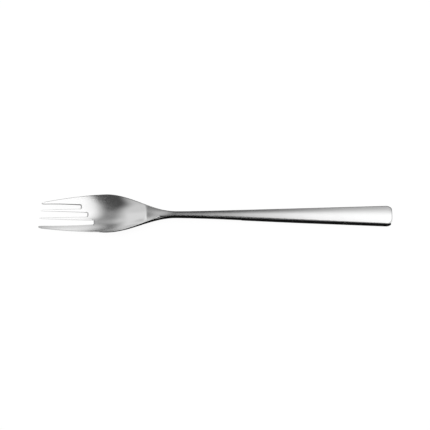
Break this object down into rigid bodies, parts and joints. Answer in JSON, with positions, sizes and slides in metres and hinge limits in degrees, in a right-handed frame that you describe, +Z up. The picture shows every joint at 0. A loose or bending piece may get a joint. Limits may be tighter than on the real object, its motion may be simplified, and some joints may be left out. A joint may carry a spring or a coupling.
{
  "type": "fish fork",
  "caption": "Satin steel fish fork with a shallow dished head, slanted slots and tips, a slender square neck and a hollow handle that widens to a square end.",
  "frame": {"origin": "on the table, under the middle of the fork's bounding box", "axes": "+X from the tips of the tines towards the end of the handle, +Y towards the shorter outer tine, +Z up from the table"},
  "size_m": [0.19, 0.0224, 0.0047],
  "materials": {
    "head_steel": "satin, polished edges",
    "upper_shell_steel": "satin",
    "lower_shell_steel": "satin",
    "core_cement": "matt cast resin cement"
  },
  "bodies": {
    "root": {"fork_head": "head_steel", "handle_upper_shell": "upper_shell_steel", "handle_lower_shell": "lower_shell_steel", "handle_filler": "core_cement"}
  },
  "joints": []
}
